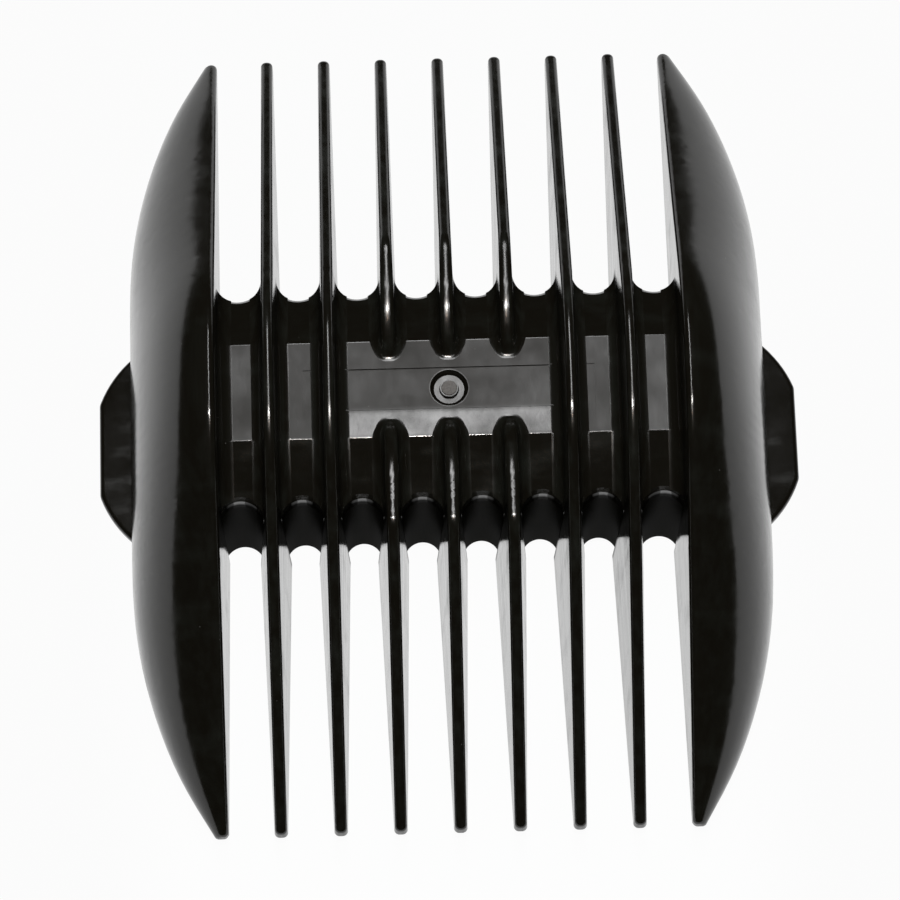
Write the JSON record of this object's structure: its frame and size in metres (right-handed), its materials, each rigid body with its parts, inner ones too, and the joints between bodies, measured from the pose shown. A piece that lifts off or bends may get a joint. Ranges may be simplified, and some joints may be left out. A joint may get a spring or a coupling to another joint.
{
  "type": "hair clipper comb attachment",
  "caption": "Double-ended guide comb for a hair clipper: arched comb teeth over a bridge between bowed side guards, with thumb tabs and snap latches at the sides.",
  "frame": {"origin": "on the plane the comb rests on, under the centre of the bridge", "axes": "+Z is the skin side, Y runs along the teeth with the shorter cutting length at +Y, X runs across the teeth"},
  "size_m": [0.054, 0.0634, 0.0194],
  "materials": {
    "comb_plastic": "polished moulded, near black"
  },
  "bodies": {
    "comb": {"deck": "comb_plastic", "front_wall": "comb_plastic", "rear_wall": "comb_plastic", "left_outer_rib": "comb_plastic", "left_inner_rib": "comb_plastic", "right_inner_rib": "comb_plastic", "right_outer_rib": "comb_plastic", "front_left_tooth": "comb_plastic", "front_centre_tooth": "comb_plastic", "front_right_tooth": "comb_plastic", "rear_left_tooth": "comb_plastic", "rear_centre_tooth": "comb_plastic", "rear_right_tooth": "comb_plastic", "left_guard": "comb_plastic", "right_guard": "comb_plastic", "left_side_frame": "comb_plastic", "right_side_frame": "comb_plastic", "left_seat_rib": "comb_plastic", "centre_seat_rib": "comb_plastic", "right_seat_rib": "comb_plastic"},
    "left_latch": {"left_latch_arm": "comb_plastic", "left_grip_tab": "comb_plastic", "left_catch_bead": "comb_plastic"},
    "right_latch": {"right_latch_arm": "comb_plastic", "right_grip_tab": "comb_plastic", "right_catch_bead": "comb_plastic"}
  },
  "joints": [
    {"name": "left_latch_flex", "type": "hinge", "parent": "comb", "child": "left_latch", "pos_m": [-0.0214, 0, 0.0095], "axis": [0, 1, 0], "range_deg": [0, 5], "stiffness_Nm_per_rad": 0.02},
    {"name": "right_latch_flex", "type": "hinge", "parent": "comb", "child": "right_latch", "pos_m": [0.0214, 0, 0.0095], "axis": [0, -1, 0], "range_deg": [0, 5], "stiffness_Nm_per_rad": 0.02}
  ]
}
